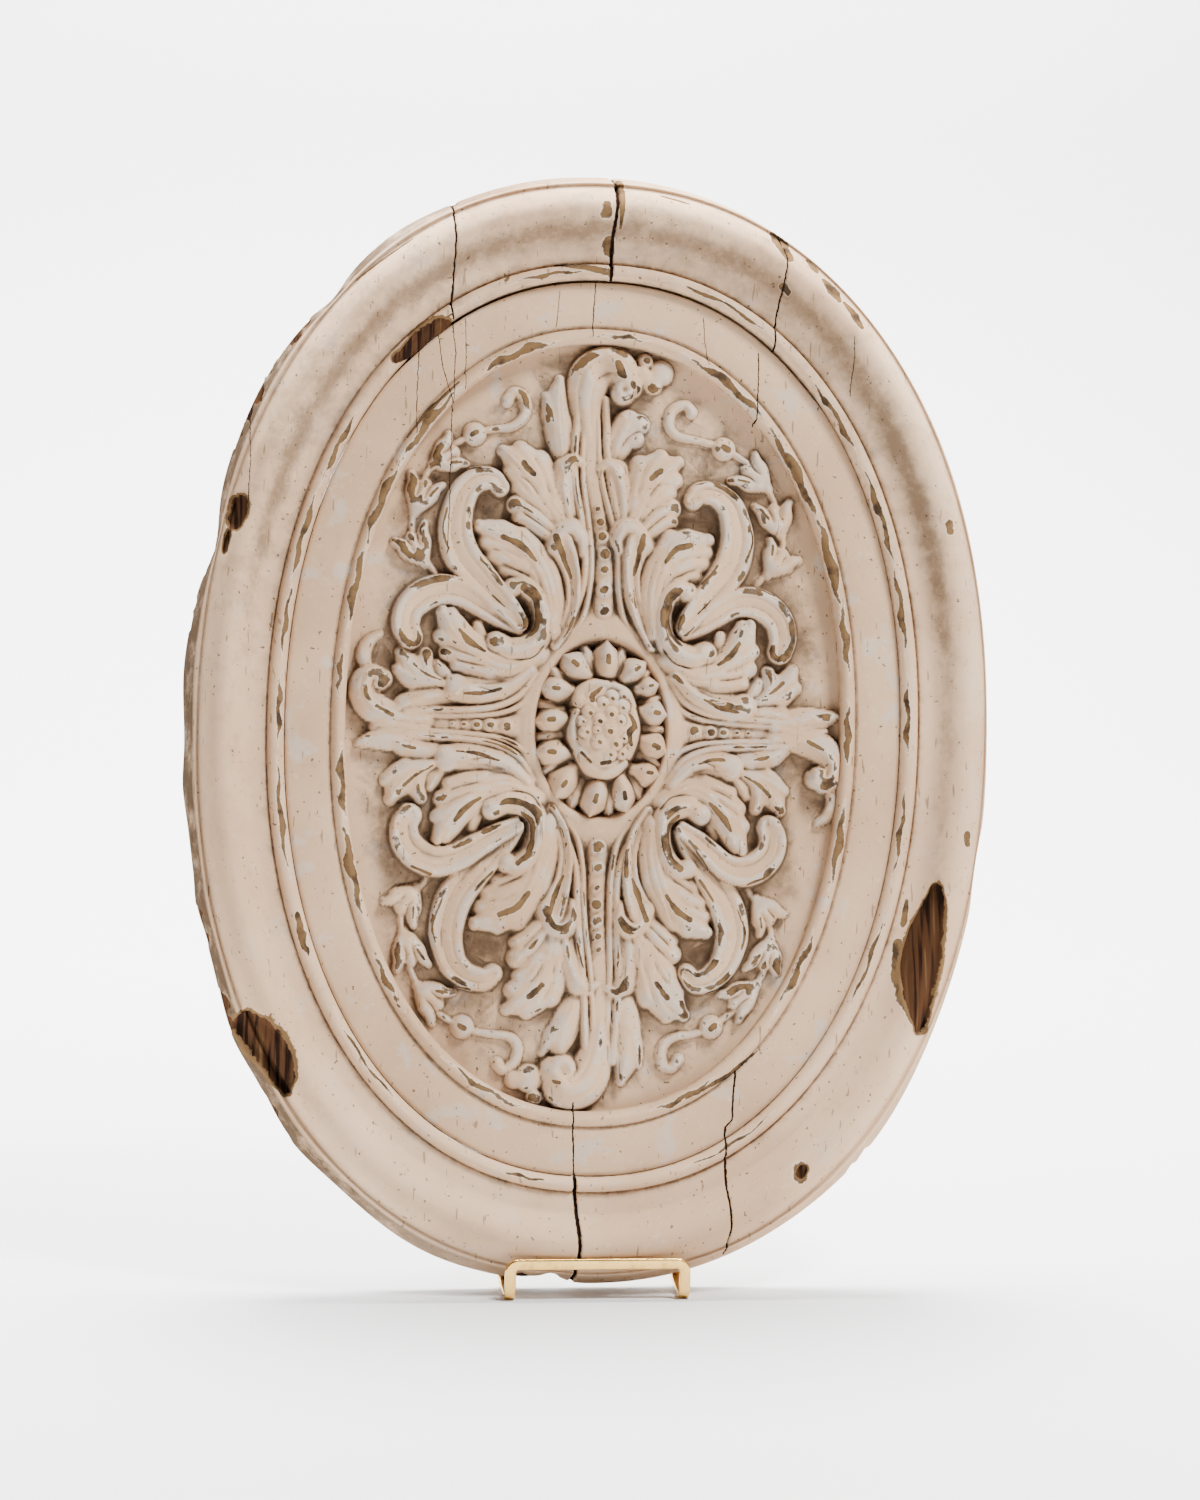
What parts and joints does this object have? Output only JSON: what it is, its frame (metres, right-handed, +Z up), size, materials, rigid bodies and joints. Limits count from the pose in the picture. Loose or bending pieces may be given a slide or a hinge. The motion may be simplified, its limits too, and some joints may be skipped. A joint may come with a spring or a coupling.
{
  "type": "architectural medallion",
  "caption": "Oval carved and painted wooden medallion, with scrolling acanthus leaves round a flower inside a moulded frame, leaning back in a small brass strip stand.",
  "frame": {"origin": "on the table, under the middle of the whole object's box", "axes": "+Z up, the carved face looks to -Y and a little up, +X to the right of someone facing it"},
  "size_m": [0.4904, 0.1642, 0.6653],
  "materials": {
    "frame_paint": "worn matt cream paint over dark wood",
    "panel_paint": "worn matt cream paint with a brown glaze in the hollows",
    "rosette_paint": "worn matt cream paint with a brown glaze in the hollows",
    "polished_brass": "polished"
  },
  "bodies": {
    "root": {"frame_moulding": "frame_paint", "carved_panel": "panel_paint", "rosette": "rosette_paint", "display_stand": "polished_brass"}
  },
  "joints": []
}
